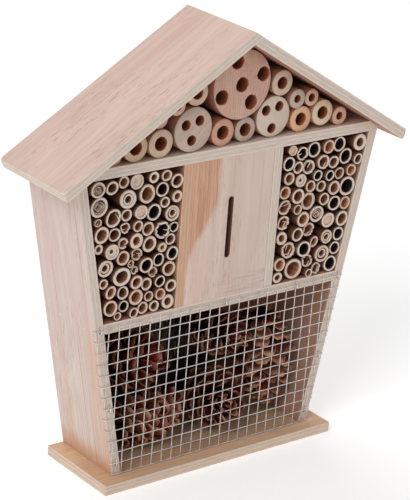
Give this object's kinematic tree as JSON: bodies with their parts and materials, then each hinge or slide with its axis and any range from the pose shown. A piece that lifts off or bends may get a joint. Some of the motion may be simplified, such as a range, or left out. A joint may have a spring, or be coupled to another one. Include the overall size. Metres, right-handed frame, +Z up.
{
  "type": "insect hotel",
  "caption": "Small gabled plywood insect hotel with drilled logs, hollow canes, a slotted butterfly panel and pine cones behind a wire mesh.",
  "frame": {"origin": "under the middle of the house, on the surface that it stands on", "axes": "+Z up to the ridge, -Y towards the open front, +X to the right seen from the front"},
  "size_m": [0.276, 0.07, 0.2955],
  "materials": {
    "plywood": "raw sanded plywood",
    "base_plywood": "raw sanded plywood, yellower",
    "log_wood": "raw sawn end grain",
    "bamboo_cane": "raw cut cane",
    "pine_cone": "dry open pine cone",
    "galvanised_wire": "galvanised",
    "zinc_plated_steel": "zinc plated"
  },
  "bodies": {
    "root": {"base_plate": "base_plywood", "left_wall": "plywood", "right_wall": "plywood", "back_panel": "plywood", "middle_shelf": "plywood", "upper_shelf": "plywood", "left_divider": "plywood", "right_divider": "plywood", "butterfly_panel": "plywood", "roof_left": "plywood", "roof_right": "plywood", "wire_mesh": "galvanised_wire", "mesh_staples": "zinc_plated_steel", "shelf_brads": "zinc_plated_steel", "base_brads": "zinc_plated_steel", "back_brads": "zinc_plated_steel", "hanger_plate": "zinc_plated_steel", "hanger_screws": "zinc_plated_steel", "large_log": "log_wood", "left_log": "log_wood", "right_log": "log_wood", "left_floor_dowels": "log_wood", "left_upper_dowels": "log_wood", "middle_dowels": "log_wood", "right_floor_dowels": "log_wood", "right_upper_dowels": "log_wood", "upper_left_cone": "pine_cone", "lower_left_cone": "pine_cone", "lower_middle_cone": "pine_cone", "upper_middle_cone": "pine_cone", "right_cone": "pine_cone", "left_canes_1": "bamboo_cane", "left_canes_2": "bamboo_cane", "left_canes_3": "bamboo_cane", "left_canes_4": "bamboo_cane", "left_canes_5": "bamboo_cane", "left_canes_6": "bamboo_cane", "left_canes_7": "bamboo_cane", "left_canes_8": "bamboo_cane", "left_canes_9": "bamboo_cane", "right_canes_1": "bamboo_cane", "right_canes_2": "bamboo_cane", "right_canes_3": "bamboo_cane", "right_canes_4": "bamboo_cane", "right_canes_5": "bamboo_cane", "right_canes_6": "bamboo_cane", "right_canes_7": "bamboo_cane", "right_canes_8": "bamboo_cane", "right_canes_9": "bamboo_cane"}
  },
  "joints": []
}
